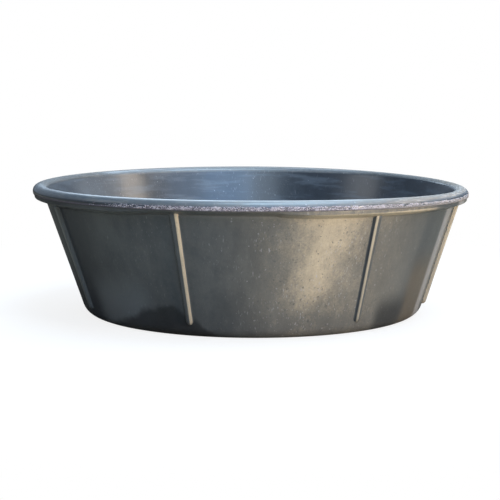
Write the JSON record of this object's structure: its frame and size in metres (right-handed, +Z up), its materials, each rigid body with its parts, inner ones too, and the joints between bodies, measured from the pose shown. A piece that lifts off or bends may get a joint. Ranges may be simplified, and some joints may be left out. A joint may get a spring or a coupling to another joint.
{
  "type": "rubber feed pan",
  "caption": "Round flared feed pan of cord-reinforced rubber with a rolled rim, outside ribs and a flat base, for feeding livestock on the ground.",
  "frame": {"origin": "on the ground, at the middle of the flat base", "axes": "+Z up along the pan's axis; the plain panel between two ribs, wider than the others, faces -Y"},
  "size_m": [0.559, 0.559, 0.165],
  "materials": {
    "cover_rubber": "satin black, moulded",
    "liner_rubber": "satin black, moulded",
    "filler_rubber": "matt black",
    "cord_fabric": "cut cord, off-white",
    "rib_rubber": "satin black, moulded"
  },
  "bodies": {
    "root": {"wall_cover": "cover_rubber", "base_cover": "cover_rubber", "wall_cord_ply": "cord_fabric", "floor_cord_ply": "cord_fabric", "wall_liner": "liner_rubber", "floor_liner": "liner_rubber", "rim_filler": "filler_rubber", "rib_1": "rib_rubber", "rib_2": "rib_rubber", "rib_3": "rib_rubber", "rib_4": "rib_rubber", "rib_5": "rib_rubber", "rib_6": "rib_rubber", "rib_7": "rib_rubber", "rib_8": "rib_rubber"}
  },
  "joints": []
}
